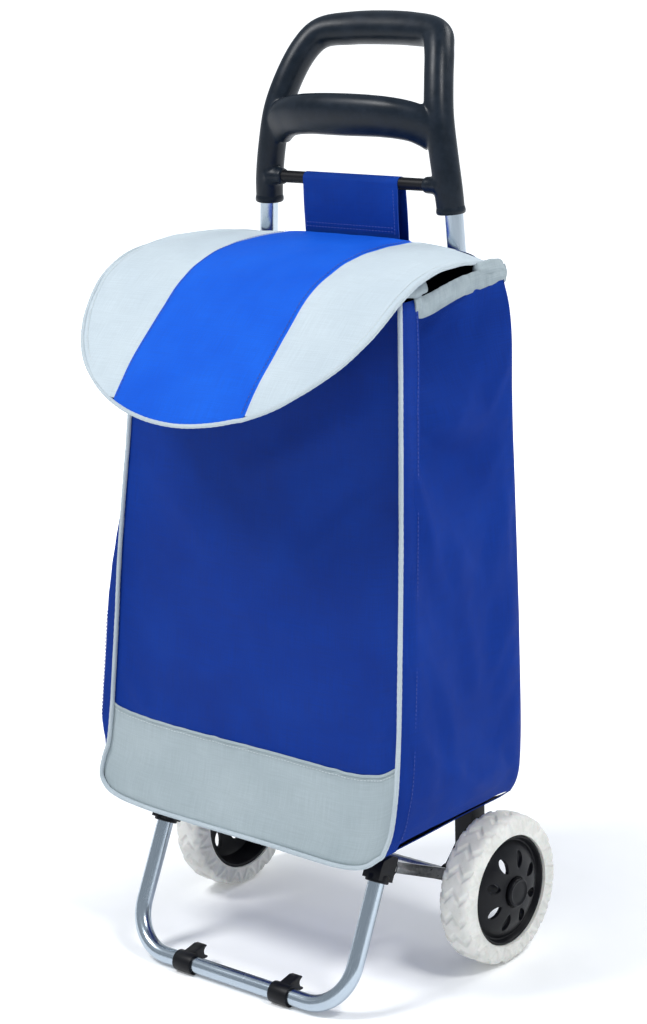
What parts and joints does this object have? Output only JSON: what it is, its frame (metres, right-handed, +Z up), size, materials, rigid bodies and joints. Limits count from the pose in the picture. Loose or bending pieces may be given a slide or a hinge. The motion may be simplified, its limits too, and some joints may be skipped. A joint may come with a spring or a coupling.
{
  "type": "folding shopping trolley",
  "caption": "Two-wheeled shopping trolley with a tube frame, fold-away front stand, folding base and a lidded fabric bag hung from the handle.",
  "frame": {"origin": "on the floor under the middle of the overall box", "axes": "+Z up, +X across the trolley to the right, -Y the front that the stand and lid are on"},
  "size_m": [0.43, 0.3697, 0.9674],
  "materials": {
    "steel": "satin silver tube",
    "zinc": "zinc-plated steel",
    "handle_plastic": "moulded black plastic with a soft sheen",
    "black_plastic": "moulded black plastic",
    "tyre_foam": "off-white foam",
    "blue_fabric": "woven nylon",
    "pale_fabric": "woven nylon",
    "lid_fabric": "woven nylon",
    "piping": "bound cord piping",
    "board": "stiff sheet"
  },
  "bodies": {
    "frame": {"handle": "handle_plastic", "strap_rail": "black_plastic", "axle": "zinc", "bag_front_panel": "blue_fabric", "bag_lower_front_panel": "pale_fabric", "bag_back_panel": "blue_fabric", "bag_bottom": "blue_fabric", "base_board": "board", "collar_front": "pale_fabric", "front_piping": "piping", "hanging_strap": "blue_fabric", "main_tube_left": "steel", "handle_screw_left": "zinc", "rear_bracket_left": "black_plastic", "bracket_rivet_left": "zinc", "axle_washer_left": "zinc", "axle_cap_left": "black_plastic", "bag_side_left": "blue_fabric", "collar_left": "pale_fabric", "tube_loop_left": "blue_fabric", "main_tube_right": "steel", "handle_screw_right": "zinc", "rear_bracket_right": "black_plastic", "bracket_rivet_right": "zinc", "axle_washer_right": "zinc", "axle_cap_right": "black_plastic", "bag_side_right": "blue_fabric", "collar_right": "pale_fabric", "tube_loop_right": "blue_fabric"},
    "wheel_left": {"tyre_left": "tyre_foam", "hub_left": "black_plastic"},
    "wheel_right": {"tyre_right": "tyre_foam", "hub_right": "black_plastic"},
    "base": {"side_bar_left": "zinc", "side_bar_right": "zinc"},
    "stand": {"stand_tube": "steel", "front_bracket_left": "black_plastic", "front_bracket_right": "black_plastic", "stand_rivet_left": "zinc", "stand_rivet_right": "zinc", "foot_clip_left": "black_plastic", "foot_clip_right": "black_plastic"},
    "lid": {"lid_flap": "lid_fabric"}
  },
  "joints": [
    {"name": "wheel_left_spin", "type": "hinge", "parent": "frame", "child": "wheel_left", "pos_m": [-0.1864, 0.06, 0.08], "axis": [1, 0, 0], "continuous": true},
    {"name": "wheel_right_spin", "type": "hinge", "parent": "frame", "child": "wheel_right", "pos_m": [0.1864, 0.06, 0.08], "axis": [1, 0, 0], "continuous": true},
    {"name": "base_fold", "type": "hinge", "parent": "frame", "child": "base", "pos_m": [0, 0.06, 0.08], "axis": [-1, 0, 0], "range_deg": [0, 66], "deforming": ["bag_front_panel", "bag_lower_front_panel", "bag_side_left", "bag_side_right", "bag_bottom", "base_board", "bag_back_panel", "collar_front", "collar_left", "collar_right", "front_piping"]},
    {"name": "stand_fold", "type": "hinge", "parent": "base", "child": "stand", "pos_m": [0, -0.063, 0.1365], "axis": [1, 0, 0], "range_deg": [0, 92]},
    {"name": "lid_open", "type": "hinge", "parent": "frame", "child": "lid", "pos_m": [0, 0.096, 0.745], "axis": [-1, 0, 0], "range_deg": [0, 70]}
  ]
}
